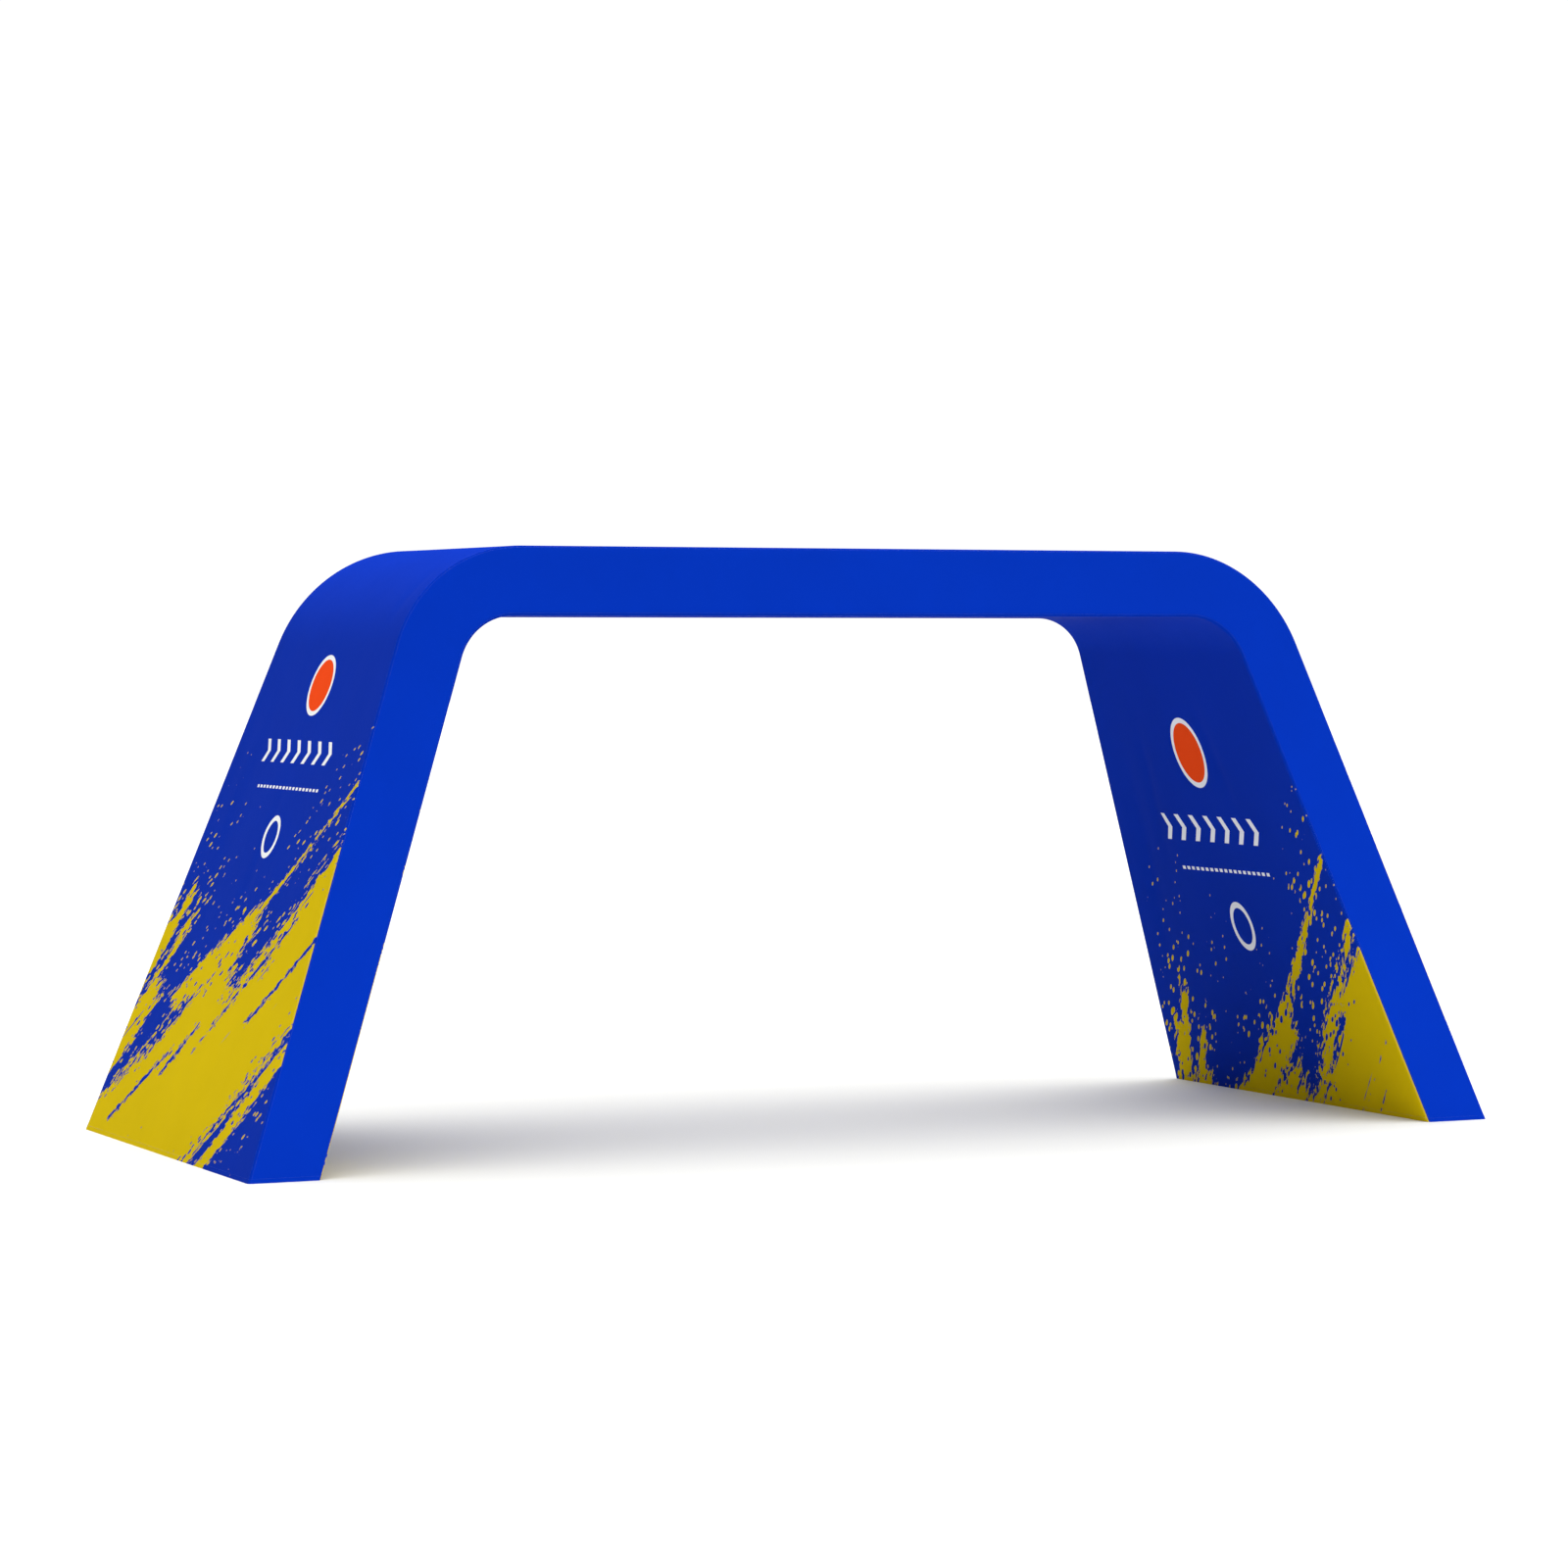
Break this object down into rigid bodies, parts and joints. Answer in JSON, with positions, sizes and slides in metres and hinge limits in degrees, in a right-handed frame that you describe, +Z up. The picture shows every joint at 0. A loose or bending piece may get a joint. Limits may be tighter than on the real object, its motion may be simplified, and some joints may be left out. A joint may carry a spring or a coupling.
{
  "type": "fabric entrance arch on a tube frame",
  "caption": "Free-standing fabric entrance arch: a printed stretch cover with leaning legs and rounded corners, drawn over a hidden aluminium tube frame.",
  "frame": {"origin": "on the floor, under the middle of the beam", "axes": "+X along the span, from the left leg to the right leg as seen from the front; +Y from front to back; +Z up"},
  "size_m": [6.866, 2.662, 3],
  "materials": {
    "cloth_plain": "matt bright blue polyester stretch knit",
    "cloth_printed": "matt blue polyester stretch knit, dye-printed with yellow dry-brush strokes on the legs",
    "tube": "mill-finish drawn tube",
    "plate": "dark powder coat"
  },
  "bodies": {
    "root": {"back_beam_left_rung": "tube", "back_beam_middle_rung": "tube", "back_beam_right_rung": "tube", "back_inner_left_bend_tube": "tube", "back_inner_left_leg_tube": "tube", "back_inner_right_bend_tube": "tube", "back_inner_right_leg_tube": "tube", "back_inner_top_tube": "tube", "back_left_base_plate": "plate", "back_left_middle_rung": "tube", "back_left_upper_rung": "tube", "back_outer_left_bend_tube": "tube", "back_outer_left_leg_tube": "tube", "back_outer_right_bend_tube": "tube", "back_outer_right_leg_tube": "tube", "back_outer_top_tube": "tube", "back_panel": "cloth_plain", "back_right_base_plate": "plate", "back_right_middle_rung": "tube", "back_right_upper_rung": "tube", "front_beam_left_rung": "tube", "front_beam_middle_rung": "tube", "front_beam_right_rung": "tube", "front_inner_left_bend_tube": "tube", "front_inner_left_leg_tube": "tube", "front_inner_right_bend_tube": "tube", "front_inner_right_leg_tube": "tube", "front_inner_top_tube": "tube", "front_left_base_plate": "plate", "front_left_middle_rung": "tube", "front_left_upper_rung": "tube", "front_outer_left_bend_tube": "tube", "front_outer_left_leg_tube": "tube", "front_outer_right_bend_tube": "tube", "front_outer_right_leg_tube": "tube", "front_outer_top_tube": "tube", "front_panel": "cloth_plain", "front_right_base_plate": "plate", "front_right_middle_rung": "tube", "front_right_upper_rung": "tube", "inner_band": "cloth_printed", "inner_left_base_spreader": "tube", "inner_left_beam_spreader": "tube", "inner_left_leg_spreader": "tube", "inner_middle_spreader": "tube", "inner_right_base_spreader": "tube", "inner_right_beam_spreader": "tube", "inner_right_leg_spreader": "tube", "outer_band": "cloth_printed", "outer_left_base_spreader": "tube", "outer_left_beam_spreader": "tube", "outer_left_leg_spreader": "tube", "outer_middle_spreader": "tube", "outer_right_base_spreader": "tube", "outer_right_beam_spreader": "tube", "outer_right_leg_spreader": "tube"}
  },
  "joints": []
}
